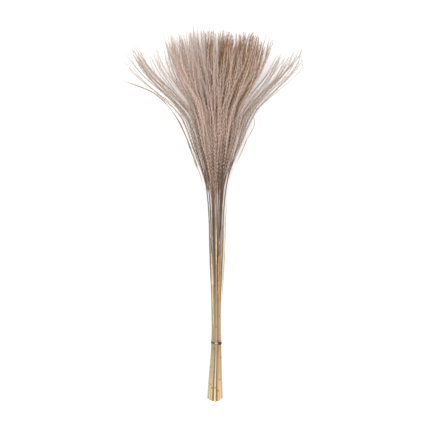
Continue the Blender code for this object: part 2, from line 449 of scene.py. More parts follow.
@dataclass(frozen=True)
class LeafFinish:
    """A dried blade with lengthwise veins, worn paler in places and dark at its edges."""

    name: str
    blade: str
    vein: str
    worn: str
    edge: str
    veins: Grain = Grain(42.0, 3.0, 1.0, 2.0, 0.6)
    wear: Grain = Grain(2.5, 11.0, 4.0, 3.0, 0.6)
    worn_share: float = 0.75
    edge_share: float = 0.6
    relief: float = 0.00012

    def material(self) -> bpy.types.Material:
        """Build the material, whose map runs across the blade and along it.

        Returns:
            The material.
        """
        paint = Paint(self.name, 0.6)
        across, along = paint.surface_place()
        veins = paint.grain(self.veins, across, along)
        wear = paint.grain(self.wear, across, along)
        colour = paint.mix(veins.between(0.38, 0.60), linear(self.vein), linear(self.blade))
        colour = paint.mix(wear.between(0.48, 0.66) * self.worn_share, colour, linear(self.worn))
        rim = (across - 0.5).size().between(0.36, 0.50)
        colour = paint.mix(rim * self.edge_share, colour, linear(self.edge))
        paint.feed("Base Color", paint.shade(0.86 + wear * 0.3, colour))
        paint.feed("Roughness", 0.5 + veins * 0.25)
        paint.emboss(veins, self.relief, 0.8)
        return paint.material


@dataclass(frozen=True)
class PlasticFinish:
    """Glossy black plastic with a little haze and fine scuffs."""

    name: str
    colour: str
    scuff: str
    haze: Grain = Grain(9.0, 4.0, 0.0, 4.0, 0.6)
    scuffs: Grain = Grain(160.0, 5.0, 3.0)
    scuff_share: float = 0.35
    relief: float = 0.00003

    def material(self) -> bpy.types.Material:
        """Build the material.

        Returns:
            The material.
        """
        paint = Paint(self.name, 0.2, IOR=1.6)
        across, along = paint.surface_place()
        haze = paint.grain(self.haze, across, along)
        share = paint.grain(self.scuffs, across, along).between(0.58, 0.75) * self.scuff_share
        paint.feed("Base Color", paint.mix(share, linear(self.colour), linear(self.scuff)))
        paint.feed("Roughness", 0.05 + haze * 0.10 + share * 0.25)
        paint.emboss(haze, self.relief, 0.5)
        return paint.material


@dataclass(frozen=True)
class FloorFinish:
    """A plain pale studio floor, almost even."""

    name: str
    colour: str
    dull: str
    dull_share: float = 0.3

    def material(self) -> bpy.types.Material:
        """Build the material, which needs no map.

        Returns:
            The material.
        """
        paint = Paint(self.name, 0.9, Specular_IOR_Level=0.1)
        place = Wire(paint, paint.add("ShaderNodeNewGeometry", {}, {}).outputs["Position"])
        share = paint.noise(place) * self.dull_share
        paint.feed("Base Color", paint.mix(share, linear(self.colour), linear(self.dull)))
        return paint.material


Finish = FluffFinish | StrawFinish | PithFinish | LeafFinish | PlasticFinish | FloorFinish


class Fluff(Enum):
    """The plumes' colours."""

    ROSY = FluffFinish("fluff_rosy", "74543f", "b88c70", "efd5c6", "fcf0e6", "cca98a", "e3cbbb", 0.45)
    # TAUPE's pale end colour is partly painted glow of light shining through the hair tips.
    TAUPE = FluffFinish("fluff_taupe", "6a4c39", "ab8065", "ead2c2", "f7ebe1", "c49e7d", "e6d6ca", 0.55)
    GOLDEN = FluffFinish("fluff_golden", "664628", "8e623d", "d3ad89", "e5caab", "b08459", "ac7944", 1.0)
    # ASHEN's dark foot colour is partly painted shade under its strands.
    ASHEN = FluffFinish("fluff_ashen", "6f5743", "977860", "d3bdad", "f0e3d8", "997860", "c4ab97", 0.40)


class Straw(Enum):
    """The stems' colours."""

    PALE = StrawFinish("straw_pale", "f0d8b0", "cab08a", "a8875e", "a98457", "7b5f3d")
    TAN = StrawFinish("straw_tan", "e4c59c", "bb966b", "8f6a42", "86603f", "6a4c30")
    OLIVE = StrawFinish("straw_olive", "cdb98e", "a89772", "706341", "6d6a44", "5c5333", 0.7)
    RUSSET = StrawFinish("straw_russet", "dcb68e", "b08766", "86593c", "7d4a3a", "5f3b2b", 0.7)
    PLUM = StrawFinish("straw_plum", "a5835f", "a0816a", "6f4f3e", "684a47", "54403a", 0.6)


class Blade(Enum):
    """The leaves' colours."""

    TAN = LeafFinish("blade_tan", "a98962", "846645", "c2a680", "6d5235")
    # DARK is near-black brown. Where it lies, as the dark blade and as sheaths, its dark strips are partly
    # painted shade of the gaps between stems.
    DARK = LeafFinish("blade_dark", "4a3a26", "32271a", "66543a", "2b2216")
    PALE = LeafFinish("blade_pale", "cdb58c", "a88d63", "dccaa6", "94794f")
    GREY = LeafFinish("blade_grey", "ad9880", "8a745c", "c9b8a2", "7d684f")


PITH = PithFinish("cut_pith", "efdfbd", "a98c5c")
TIE_PLASTIC = PlasticFinish("tie_plastic", "0b0b0c", "3a3a3c")
FLOOR = FloorFinish("studio_floor", "fafafa", "f2f2f2")


class Wardrobe:
    """The materials that have been built, each once."""

    def __init__(self) -> None:
        """Start empty."""
        self.built: dict[str, bpy.types.Material] = {}

    def get(self, choice: Finish | Fluff | Straw | Blade) -> bpy.types.Material:
        """Give a finish's material, built the first time that it is asked for.

        Args:
            choice: A finish, or a member of an Enum of finishes.

        Returns:
            The material.
        """
        finish = choice.value if isinstance(choice, Enum) else choice
        if finish.name not in self.built:
            self.built[finish.name] = finish.material()
        return self.built[finish.name]


# ---------------------------------------------------------------------------------------------------------
# Mesh making
# ---------------------------------------------------------------------------------------------------------


def unit(vectors: np.ndarray) -> np.ndarray:
    """Scale vectors to length 1."""
    return vectors / np.maximum(np.linalg.norm(vectors, axis=-1, keepdims=True), 1e-12)


def ease(low: float, high: float, at: np.ndarray | float) -> np.ndarray:
    """Go gently from 0 at low to 1 at high."""
    share = np.clip((np.asarray(at) - low) / (high - low), 0.0, 1.0)
    return share * share * (3.0 - 2.0 * share)


def smooth_read(knots: np.ndarray, values: np.ndarray, at: np.ndarray) -> np.ndarray:
    """Read values between their knots, on a smooth curve, and straight on past its ends.

    Args:
        knots: Rising places, (K,).
        values: What is known there, (K, D).
        at: Where to read, of any shape.

    Returns:
        The values, with D as a last axis.
    """
    slopes = np.gradient(values, knots, axis=0)
    low = np.clip(np.searchsorted(knots, at) - 1, 0, len(knots) - 2)
    span = (knots[low + 1] - knots[low])[..., None]
    raw = (at - knots[low])[..., None] / span
    share = np.clip(raw, 0.0, 1.0)
    ease_in = share * share * (3.0 - 2.0 * share)
    level = values[low] + (values[low + 1] - values[low]) * ease_in
    bend = slopes[low] * (1.0 - share) - slopes[low + 1] * share
    end_slope = np.where(raw > 1.0, slopes[low + 1], slopes[low])
    return level + span * (share * (1.0 - share) * bend + (raw - share) * end_slope)


def move_within(
    centre: np.ndarray, shift: np.ndarray, low: float, high: float, room: float = 0.032
) -> np.ndarray:
    """Shift a path sideways, less so where it already runs near a limit.

    Args:
        centre: Where the path runs.
        shift: How far to move it.
        low: The lower limit.
        high: The upper limit.
        room: Shifts are whole where the path is further than this from the limits.

    Returns:
        Where it runs afterwards.
    """
    share = np.where(shift > 0.0, high - centre, centre - low) / room
    return (centre + shift * share.clip(0.0, 1.0)).clip(low, high)


def across_path(path: np.ndarray) -> tuple[np.ndarray, np.ndarray, np.ndarray]:
    """Find directions along and across a path that never runs straight up.

    Args:
        path: Points, (..., M, 3).

    Returns:
        Unit vectors along the path, level across it, and up across it.
    """
    ahead = unit(np.gradient(path, axis=-2))
    level = unit(np.cross(ahead, UP))
    return ahead, level, np.cross(level, ahead)


def hump(off: np.ndarray, place: float, width: float) -> np.ndarray:
    """Add up, along the last axis, round humps of height 1 at a place."""
    return np.exp(-(((off - place) / width) ** 2)).sum(-1)


def tube_rings(path: np.ndarray, radii: np.ndarray, sides: int) -> np.ndarray:
    """Lay circles round a path.

    Args:
        path: Points, (..., M, 3).
        radii: The circles' radii, (..., M).
        sides: Corners of each circle.

    Returns:
        The corners, (..., M, sides, 3).
    """
    _, level, upward = across_path(path)
    turn = -2.0 * math.pi * np.arange(sides) / sides
    spokes = level[..., None, :] * np.cos(turn)[:, None] + upward[..., None, :] * np.sin(turn)[:, None]
    return path[..., None, :] + spokes * radii[..., None, None]


def in_fixed_order(points: np.ndarray, faces: np.ndarray) -> tuple[np.ndarray, np.ndarray]:
    """Number a shape's vertices and triangles by place, so that every build gives the same order.

    Args:
        points: Vertices, (N, 3).
        faces: Vertex numbers, (F, 3).

    Returns:
        The same shape's vertices and triangles in their new order.
    """
    order = np.lexsort((points.round(7) + 0.0).T)
    faces = np.argsort(order)[faces]
    start = faces.argmin(1)[:, None]
    faces = np.take_along_axis(faces, (start + np.arange(3)) % 3, axis=1)
    return points[order], faces[np.lexsort(faces.T)]


class MeshStack:
    """Collects vertices and faces in blocks, and turns them into one piece."""

    def __init__(self) -> None:
        """Start empty."""
        self.count = 0
        self.points: list[np.ndarray] = []
        self.marks: list[np.ndarray] = []
        self.faces: list[np.ndarray] = []
        self.maps: list[np.ndarray] = []
        self.slots: list[np.ndarray] = []

    def add(
        self,
        points: np.ndarray,
        faces: np.ndarray,
        corner_map: np.ndarray,
        slot: int = 0,
        marks: np.ndarray | None = None,
    ) -> None:
        """Add a block.

        Args:
            points: Vertices, (N, 3).
            faces: Vertex numbers within the block, (F, corners).
            corner_map: Each face corner's place on the map, (F, corners, 2).
            slot: Which material the faces wear.
            marks: A number from 0 to 1 for each vertex.
        """
        self.points.append(points)
        self.marks.append(np.zeros(len(points)) if marks is None else marks)
        self.faces.append(faces + self.count)
        self.maps.append(corner_map)
        self.slots.append(np.full(len(faces), slot))
        self.count += len(points)

    def add_skin(
        self,
        rings: np.ndarray,
        along: np.ndarray,
        slot: int = 0,
        marks: np.ndarray | None = None,
        looped: bool = False,
        across: tuple[float, float] = (0.0, 1.0),
    ) -> None:
        """Add a closed skin over rings of corners, with fans over its ends.

        Args:
            rings: Corners, (M, sides, 3).
            along: Each ring's place along the map, (M,). A looped skin has one more, for its seam.
            slot: Which material the faces wear.
            marks: A number from 0 to 1 for each ring.
            looped: Whether the last ring joins the first.
            across: Where the map starts and ends across.
        """
        count, sides = rings.shape[:2]
        steps = np.arange(count if looped else count - 1)
        ring, side = np.meshgrid(steps, np.arange(sides), indexing="ij")
        after_ring = (ring + 1) % count
        after_side = (side + 1) % sides
        corners = (
            ring * sides + side,
            ring * sides + after_side,
            after_ring * sides + after_side,
            after_ring * sides + side,
        )
        faces = np.stack(corners, -1).reshape(-1, 4)
        width = across[1] - across[0]
        low = across[0] + width * side / sides
        high = low + width / sides
        near, far = along[ring], along[ring + 1]
        places = (np.stack((low, high, high, low), -1), np.stack((near, near, far, far), -1))
        corner_map = np.stack(places, -1).reshape(-1, 4, 2)
        ring_marks = np.zeros(count) if marks is None else marks
        first = self.count
        self.add(rings.reshape(-1, 3), faces, corner_map, slot, np.repeat(ring_marks, sides))
        if not looped:
            last = first + (count - 1) * sides
            self.close_ring(rings[0], first, along[0], slot, across, ring_marks[0], turned=True)
            self.close_ring(rings[-1], last, along[-1], slot, across, ring_marks[-1], turned=False)

    def close_ring(
        self,
        ring: np.ndarray,
        first: int,
        along: float,
        slot: int,
        across: tuple[float, float],
        mark: float,
        turned: bool,
        map_depth: float = 0.004,
    ) -> None:
        """Close an end of a skin with a fan, on the corners that it already has.

        Args:
            ring: The end's corners, (sides, 3).
            first: The number of the first of them in the whole mesh.
            along: The end's place along the map.
            slot: Which material the faces wear.
            across: Where the map starts and ends across.
            mark: The end's mark.
            turned: Whether the fan faces back along the skin.
            map_depth: How far the fan's middle lies along the map from its rim.
        """
        sides = len(ring)
        corner = first - self.count + np.arange(sides)
        after = np.roll(corner, -1)
        middle = np.zeros(sides, int)
        order = (middle, after, corner) if turned else (middle, corner, after)
        width = across[1] - across[0]
        low = across[0] + width * np.arange(sides) / sides
        high = low + width / sides
        halfway = (low + high) / 2.0
        places = (halfway, high, low) if turned else (halfway, low, high)
        inward = np.array((map_depth, 0.0, 0.0)) * (1.0 if turned else -1.0)
        levels = np.broadcast_to(along + inward, (sides, 3))
        corner_map = np.stack((np.stack(places, -1), levels), -1)
        self.add(ring.mean(0, keepdims=True), np.stack(order, -1), corner_map, slot, np.array((mark,)))

    def add_sheet(
        self,
        front: np.ndarray,
        back: np.ndarray,
        slot: int,
        rim_width: float = 0.002,
        map_depth: float = 0.004,
    ) -> None:
        """Add a thin closed sheet with a front, a back and a rim.

        Args:
            front: The front's grid of points, (M, W, 3).
            back: The back's grid of points, (M, W, 3).
            slot: Which material the faces wear.
            rim_width: How wide the long edges are on the map.
            map_depth: How deep the short ends are on the map.
        """
        count, width = front.shape[:2]
        right, along = np.diff(front, axis=1)[:-1], np.diff(front, axis=0)[:, :-1]
        if (np.cross(right, along) * (front - back)[:-1, :-1]).sum() < 0.0:
            front, back = front[:, ::-1], back[:, ::-1]
        rings = np.concatenate((front, back[:, ::-1]), axis=1)
        shares = np.linspace(0.0, 1.0, width)
        across = np.concatenate((shares, shares[::-1]))
        sides = 2 * width
        ring, side = np.meshgrid(np.arange(count - 1), np.arange(sides), indexing="ij")
        after = (side + 1) % sides
        order = ((ring, side), (ring, after), (ring + 1, after), (ring + 1, side))
        faces = np.stack([a * sides + b for a, b in order], -1).reshape(-1, 4)
        rim = rim_width * (np.arange(sides) >= width)
        places = [np.stack((across[b] + rim[b], a / (count - 1.0)), -1) for a, b in order]
        self.add(rings.reshape(-1, 3), faces, np.stack(places, -2).reshape(-1, 4, 2), slot)
        span = np.stack((shares[:-1], shares[:-1], shares[1:], shares[1:]), -1)
        for end, turned in ((0, True), (count - 1, False)):
            corner = end * sides + np.arange(width - 1)
            mirrored = (2 * end + 1) * sides - 1 - corner
            quad = np.stack((corner, mirrored, mirrored - 1, corner + 1), -1)
            inward = map_depth * np.array((0.0, 1.0, 1.0, 0.0)) * (1.0 if turned else -1.0)
            depth = np.broadcast_to(end / (count - 1.0) + inward, span.shape)
            way = 1 if turned else -1
            corner_map = np.stack((span, depth), -1)[:, ::way]
            self.add(np.zeros((0, 3)), quad[:, ::way] - count * sides, corner_map, slot)

    def build(self, name: str, materials: Sequence[bpy.types.Material]) -> bpy.types.Object:
        """Make the piece.

        Args:
            name: The piece's name.
            materials: The materials of its slots.

        Returns:
            The object, linked to the scene.
        """
        points = np.concatenate(self.points).astype(np.float32)
        marks = np.concatenate(self.marks).astype(np.float32)
        slots = np.concatenate(self.slots).astype(np.int32)
        sizes = np.concatenate([np.full(len(block), block.shape[1]) for block in self.faces])
        corners = np.concatenate([block.ravel() for block in self.faces]).astype(np.int32)
        places = np.concatenate([block.reshape(-1, 2) for block in self.maps]).astype(np.float32)
        mesh = bpy.data.meshes.new(name)
        mesh.vertices.add(len(points))
        mesh.vertices.foreach_set("co", points.ravel())
        mesh.loops.add(len(corners))
        mesh.loops.foreach_set("vertex_index", corners)
        mesh.polygons.add(len(sizes))
        starts = np.concatenate(((0,), np.cumsum(sizes)[:-1])).astype(np.int32)
        mesh.polygons.foreach_set("loop_start", starts)
        mesh.polygons.foreach_set("material_index", slots)
        mesh.update(calc_edges=True)
        layer = mesh.uv_layers.new(name=SURFACE_MAP)
        layer.uv.foreach_set("vector", places.ravel())
        carried = mesh.attributes.new(JOINT_MARK, "FLOAT", "POINT")
        carried.data.foreach_set("value", marks)
        for material in materials:
            mesh.materials.append(material)
        mesh.shade_smooth()
        piece = bpy.data.objects.new(name, mesh)
        bpy.context.scene.collection.objects.link(piece)
        return piece


# ---------------------------------------------------------------------------------------------------------
# Reading the frame
# ---------------------------------------------------------------------------------------------------------


def node_corners(name: str) -> np.ndarray:
    """List a CAD node's separate corners from the cut ends on.

    Args:
        name: The node's name.

    Returns:
        The corners, (N, 3), in order along +Y.
    """
    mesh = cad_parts[name].data
    flat = np.empty(len(mesh.vertices) * 3, np.float32)
    mesh.vertices.foreach_get("co", flat)
    corners = np.unique(flat.reshape(-1, 3).astype(float).round(6), axis=0)
    return corners[np.argsort(corners[:, 1], kind="stable")]


@dataclass(frozen=True)
class Core:
    """The middle line of a CAD stem or plume, with its half sizes across."""

    along: np.ndarray
    centre: np.ndarray
    half: np.ndarray

    @classmethod
    def of_node(cls, name: str, ring_gap: float = 0.002) -> "Core":
        """Read a node whose rings stand straight across the bundle.

        Args:
            name: The node's name.
            ring_gap: Corners further apart than this along the bundle are on different rings.

        Returns:
            The node's core.
        """
        corners = node_corners(name)
        breaks = np.flatnonzero(np.diff(corners[:, 1]) > ring_gap) + 1
        rings = np.split(corners, breaks)
        centre = np.array([ring.mean(0) for ring in rings])
        half = np.array([np.sqrt(2.0 * ((ring - ring.mean(0)) ** 2).mean(0))[[0, 2]] for ring in rings])
        return cls(centre[:, 1], centre, half)

    def at(self, along: np.ndarray) -> np.ndarray:
        """Give the middle line's points at places along the bundle."""
        return smooth_read(self.along, self.centre, along)

    def size_at(self, along: np.ndarray) -> np.ndarray:
        """Give the half sizes across at places along the bundle."""
        return smooth_read(self.along, self.half, along)


def tie_middle() -> Vector:
    """Find the middle of the tie, which is on the middle stem's own middle line.

    Returns:
        The point.
    """
    low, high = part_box("tie")
    along = np.array(((low[1] + high[1]) / 2.0,))
    return Vector(Core.of_node(f"stem_{MIDDLE_STALK:02d}").at(along)[0])


def settle(piece: bpy.types.Object, node: str) -> bpy.types.Object:
    """Hand a finished piece to the frame.

    Args:
        piece: The piece, in place.
        node: The CAD node that it stands for.

    Returns:
        The piece.
    """
    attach(piece, BODY)
    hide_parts(node)
    log.info("%s: %d faces, stands for %s", piece.name, len(piece.data.polygons), node)
    return piece


# ---------------------------------------------------------------------------------------------------------
# Stems
# ---------------------------------------------------------------------------------------------------------


@dataclass
class Stem:
    """One dried stem with its joints, the pith at its cut end, and what is left of its leaf sheaths.

    A joint's ring and notch are each a place past the joint and a width, both in joint lengths. The pith's
    rounds are each a share of the stem's radius and a depth in from the cut.
    """

    number: int
    finish: Straw
    sheath_finish: Blade
    sides: int = 14
    step: float = 0.007
    first_joint: tuple[float, float] = (0.025, 0.11)
    joint_spacing: tuple[float, float] = (0.10, 0.17)
    joint_swell: float = 0.13
    joint_length: float = 0.0026
    joint_ring: tuple[float, float] = (0.9, 0.8)
    notch: tuple[float, float] = (1.6, 0.5)
    notch_depth: float = 0.09
    wall_map: tuple[float, float] = (0.015, 0.98)
    pith_rounds: tuple[tuple[float, float], ...] = (
        (0.30, -0.00022), (0.62, -0.00018), (0.86, -0.00008), (0.86, 0.00040),
    )
    pith_map: tuple[float, ...] = (0.002, 0.005, 0.008, 0.010)

    sheath_grid: tuple[int, int] = (26, 11)
    sheath_length: tuple[float, float] = (0.05, 0.13)
    sheath_end_gap: float = 0.004
    sheath_wrap: float = 2.9
    sheath_slant: float = 0.75
    sheath_lift: float = 0.00014
    sheath_flare: float = 0.00045
    sheath_thickness: float = 0.00014
    sheath_share: float = 0.6
    sheath_from: float = 0.21

    seed: int = 400

    def joints(self, chance: np.random.Generator, length: float) -> np.ndarray:
        """Choose where the joints are.

        Args:
            chance: The stem's own random numbers.
            length: The stem's length.

        Returns:
            Distances from the cut end.
        """
        places = [chance.uniform(*self.first_joint)]
        while places[-1] + self.joint_spacing[1] < length:
            places.append(places[-1] + chance.uniform(*self.joint_spacing))
        return np.array(places)

    def rounds(self, core: Core, joints: np.ndarray) -> tuple[np.ndarray, np.ndarray, np.ndarray]:
        """Lay out the stem's middle line, closely at the joints.

        Args:
            core: The CAD stem's core.
            joints: Distances of the joints.

        Returns:
            Distances from the cut end, radii, and how much each place belongs to a joint.
        """
        length = core.along[-1] - core.along[0]
        near = np.linspace(-3.0, 3.0, 13) * self.joint_length
        fine = (joints[:, None] + near).ravel()
        even = np.arange(0.0, length, self.step)
        places = np.unique(np.concatenate((even, fine, (0.0, length))).clip(0.0, length).round(6))
        radii = core.size_at(core.along[0] + places).mean(-1)
        off = places[:, None] - joints
        swell, ring, notch = (
            hump(off, place * self.joint_length, width * self.joint_length)
            for place, width in ((0.0, 1.0), self.joint_ring, self.notch)
        )
        radii = radii * (1.0 + self.joint_swell * swell - self.notch_depth * notch)
        return places, radii, ring.clip(0.0, 1.0)

    def add_stalk(self, stack: MeshStack, core: Core, joints: np.ndarray) -> None:
        """Add the stem's wall and the pith that swells a little out of the cut.

        Args:
            stack: The mesh that it goes to.
            core: The CAD stem's core.
            joints: Distances of the joints.
        """
        places, radii, ring = self.rounds(core, joints)
        length = places[-1]
        path = core.at(core.along[0] + places)
        rings = tube_rings(path, radii, self.sides)
        spokes = rings[0] - path[0]
        cut = [path[0] + spokes * share + LENGTHWISE * depth for share, depth in self.pith_rounds]
        stack.add_skin(np.stack(cut), np.array(self.pith_map), slot=1)
        stack.add_skin(rings, self.wall_map[0] + self.wall_map[1] * places / length, marks=ring)

    def add_sheath(
        self, stack: MeshStack, core: Core, start: float, length: float, chance: np.random.Generator
    ) -> None:
        """Add a dry sheath: a thin sleeve that starts at a joint and ends in a split, slanting lip.

        Args:
            stack: The mesh that it goes to.
            core: The CAD stem's core.
            start: Distance of the joint.
            length: The sheath's length.
            chance: The stem's own random numbers.
        """
        lengthwise, crosswise = self.sheath_grid
        share = np.linspace(0.0, 1.0, lengthwise)
        along = core.along[0] + start + length * share
        path = core.at(along)
        _, level, upward = across_path(path)
        facing = chance.uniform(0.0, 2.0 * math.pi)
        wrap = self.sheath_wrap * (1.0 - self.sheath_slant * share ** 3)
        turn = facing + wrap[:, None] * np.linspace(-1.0, 1.0, crosswise)
        spokes = level[:, None] * np.cos(turn)[..., None] + upward[:, None] * np.sin(turn)[..., None]
        open_up = self.sheath_lift + self.sheath_flare * share ** 4
        radii = core.size_at(along).mean(-1) + open_up
        outer = path[:, None] + spokes * (radii + self.sheath_thickness)[:, None, None]
        inner = path[:, None] + spokes * radii[:, None, None]
        stack.add_sheet(outer, inner, slot=2)

    def build(self, wardrobe: Wardrobe) -> bpy.types.Object:
        """Build and dress the stem.

        Args:
            wardrobe: The materials.

        Returns:
            The piece.
        """
        chance = np.random.default_rng(self.seed + self.number)
        node = f"stem_{self.number:02d}"
        core = Core.of_node(node)
        length = core.along[-1] - core.along[0]
        joints = self.joints(chance, length)
        stack = MeshStack()
        self.add_stalk(stack, core, joints)
        for start in joints:
            wanted = chance.random() < self.sheath_share and start > self.sheath_from
            if wanted and start + self.sheath_length[0] < length:
                reach = min(chance.uniform(*self.sheath_length), length - start - self.sheath_end_gap)
                self.add_sheath(stack, core, start, reach, chance)
        materials = [wardrobe.get(finish) for finish in (self.finish, PITH, self.sheath_finish)]
        return settle(stack.build(f"straw_{node}", materials), node)


# ---------------------------------------------------------------------------------------------------------
# Plumes
# ---------------------------------------------------------------------------------------------------------


@dataclass(frozen=True)
class SpikeShape:
    """How one small closed spike is made: its vertices, its faces and its place on the map."""

    forward: np.ndarray
    thick: np.ndarray
    turn: np.ndarray
    faces: np.ndarray
    aside: np.ndarray
    spread: np.ndarray
    rise: np.ndarray


THIRD = 2.0 * math.pi / 3.0
HUSK = SpikeShape(
    forward=np.array((0.0, 0.42, 0.42, 0.42, 1.0)),
    thick=np.array((0.0, 1.0, 1.0, 1.0, 0.0)),
    turn=np.array((0.0, 0.0, THIRD, 2.0 * THIRD, 0.0)),
    faces=np.array(((0, 1, 2), (0, 2, 3), (0, 3, 1), (4, 2, 1), (4, 3, 2), (4, 1, 3))),
    aside=np.array((0.03, 0.07, 0.10, 0.13, 0.15)),
    spread=np.zeros(5),
    rise=np.array((0.0, 0.004, 0.002, 0.004, 0.010)),
)
HAIR = SpikeShape(
    forward=np.array((0.0, 0.0, 0.0, 1.0)),
    thick=np.array((1.0, 1.0, 1.0, 0.0)),
    turn=np.array((0.5, 0.5 + THIRD, 0.5 + 2.0 * THIRD, 0.0)),
    faces=np.array(((0, 1, 2), (0, 3, 1), (1, 3, 2), (2, 3, 0))),
    aside=np.array((0.05, 0.08, 0.11, 0.10)),
    spread=np.array((0.0, 0.0, 0.0, 0.34)),
    rise=np.array((0.0, 0.004, 0.0, 0.016)),
)


@dataclass(frozen=True)
class Tufts:
    """Where husks and hairs grow: one entry for each tuft along the branches."""

    base: np.ndarray
    ahead: np.ndarray
    level: np.ndarray
    upward: np.ndarray
    turn: np.ndarray
    full: np.ndarray
    column: np.ndarray
    along: np.ndarray

    def repeated(self, times: int) -> "Tufts":
        """Give each tuft several times over."""
        return Tufts(*(np.repeat(getattr(self, item.name), times, axis=0) for item in fields(self)))

    def heading(self, turn: np.ndarray, lean: np.ndarray | float) -> np.ndarray:
        """Give directions that lean away from the branches.

        Args:
            turn: The way round the branch, (N,).
            lean: The angle from the branch.

        Returns:
            Unit directions, (N, 3).
        """
        out = self.level * np.cos(turn)[:, None] + self.upward * np.sin(turn)[:, None]
        lean = np.broadcast_to(lean, turn.shape)[:, None]
        return self.ahead * np.cos(lean) + out * np.sin(lean)


@dataclass
class Plume:
    """One flower head: thin branches that rise from the stem's top, each feathered with silky hairs."""

    number: int
    branches: int
    finish: Fluff

    # The outline that the branches fill
    reach: float = 1.22
    push: float = 0.0
    overshoot: float = 0.026
    rounded: float = 0.03
    uneven: float = 0.10
    outer_cut: float = 0.06
    dome: float = 0.085
    dome_middle: float = 0.066
    crown: float = 0.478
    lowest: float = 0.003
    highest: float = 0.1475
    widest: float = 0.249

    # The branches
    samples: int = 40
    branch_radius: float = 0.00042
    branch_taper: float = 0.72
    branch_sides: int = 5
    branch_map: float = 0.0012
    out_range: tuple[float, float] = (0.84, 1.10)
    inner_rise: float = 0.26
    foot_jitter: float = 0.10
    late_opening: float = 0.22
    waves: tuple[float, float] = (0.6, 2.6)
    sway: float = 0.0032
    bow: float = 0.008
    nod: float = 0.016

    # The stalk that carries them
    axis_share: float = 0.42
    axis_radius: float = 0.0015
    axis_rounds: int = 24
    axis_sides: int = 8
    axis_sunk: float = 0.004
    axis_map: float = 0.002

    # The tufts of husks and hairs
    tuft_spacing: float = 0.0052
    tuft_stray: float = 0.5
    bare_share: float = 0.03
    filling: tuple[float, float] = (-0.07, 0.24)
    thin_end: float = 0.11
    end_fullness: float = 0.55
    husk_length: float = 0.0052
    husk_width: float = 0.00055
    husk_leans: tuple[tuple[float, float], ...] = ((0.0, 0.26), (0.6, 0.36), (-0.7, 0.30))
    hairs: int = 23
    hair_length: tuple[float, float] = (0.0055, 0.0105)
    hair_width: float = 0.00015
    hair_lean: tuple[float, float] = (0.42, 0.19)
    hair_spread: float = 0.7
    hair_slip: float = 0.0014

    seed: int = 700

    def ends(
        self, core: Core, out: np.ndarray, turn: np.ndarray, chance: np.random.Generator
    ) -> tuple[np.ndarray, np.ndarray]:
        """Choose where each branch leaves the stalk and where it ends.

        Args:
            core: The CAD plume's core.
            out: How far out each branch runs, from 0 to about 1.
            turn: The way round the plume that it runs.
            chance: The plume's own random numbers.

        Returns:
            The branches' two places along the bundle.
        """
        count = len(out)
        foot, tip = core.along[0], core.along[-1]
        length = tip - foot
        slant = (core.centre[-1, 0] - core.centre[0, 0]) / length
        outward = np.cos(turn) * out * slant
        rise = self.inner_rise * (1.0 - out) + self.foot_jitter * chance.random(count)
        start = foot + length * rise.clip(0.0)
        shorter = self.rounded * out ** 2 + self.uneven * chance.random(count) ** 2.6
        shorter = shorter + self.outer_cut * outward
        height = core.centre[-1, 2] + np.sin(turn) * out * core.half[:, 1].max() * self.reach
        shorter = shorter + self.dome * (height / self.dome_middle - 1.0) ** 2
        stop = tip + self.overshoot - length * shorter
        above = (stop - self.crown).clip(0.0) * chance.random(count) ** 1.3
        return start, np.minimum(stop, self.crown) + above

    def swerve(self, shift: np.ndarray, share: np.ndarray, chance: np.random.Generator) -> np.ndarray:
        """Let each branch sway, bow and nod in its own way.

        Args:
            shift: How far the branches run from the middle line, (branches, samples, 2).
            share: How far along the branches the samples are, from 0 to 1.
            chance: The plume's own random numbers.

        Returns:
            The same shifts with the swerves added.
        """
        each = (len(shift), 1, 2)
        wave = chance.uniform(*self.waves, each)
        phase = chance.uniform(0.0, 2.0 * math.pi, each)
        rise = share[:, None]
        shift = shift + self.sway * np.sin(2.0 * math.pi * wave * rise + phase) * rise
        shift = shift + chance.normal(0.0, self.bow, each) * np.sin(math.pi * rise)
        shift = shift + chance.normal(0.0, self.nod, each) * ease(0.45, 1.15, rise)
        shift[..., 0] += self.push * ease(0.35, 1.1, share)
        return shift

    def paths(self, core: Core, chance: np.random.Generator) -> np.ndarray:
        """Lay out the branches inside the plume's outer shape.

        Args:
            core: The CAD plume's core.
            chance: The plume's own random numbers.

        Returns:
            The branches' points from foot to end, (branches, samples, 3).
        """
        count = self.branches
        order = np.arange(count)
        out = np.sqrt((order + 0.6) / count) * chance.uniform(*self.out_range, count)
        turn = order * GOLDEN_ANGLE + chance.uniform(-0.5, 0.5, count) + self.number
        start, stop = self.ends(core, out, turn, chance)
        share = np.linspace(0.0, 1.0, self.samples)
        along = start[:, None] + (stop - start)[:, None] * share
        half = smooth_read(core.along, np.maximum.accumulate(core.half, axis=0), along) * self.reach
        spread = np.stack((np.cos(turn) * out, np.sin(turn) * out), -1)
        opening = ease(0.0, 0.42, share) + self.late_opening * ease(0.6, 1.1, share)
        shift = self.swerve(spread[:, None] * half * opening[:, None], share, chance)
        paths = core.at(along)
        paths[..., 0] = move_within(paths[..., 0], shift[..., 0], -self.widest, self.widest)
        paths[..., 2] = move_within(paths[..., 2], shift[..., 1], self.lowest, self.highest)
        return paths

    def column(self, branch: np.ndarray | int) -> np.ndarray | int:
        """Give each branch its column on the map, in another order on each plume."""
        return (branch * 5 + self.number * 11) % COLUMNS

    def strip(self, branch: int, half_width: float) -> tuple[float, float]:
        """Give the strip in the middle of a branch's column that its own skin takes."""
        middle = (self.column(branch) + 0.5) / COLUMNS
        return middle - half_width, middle + half_width

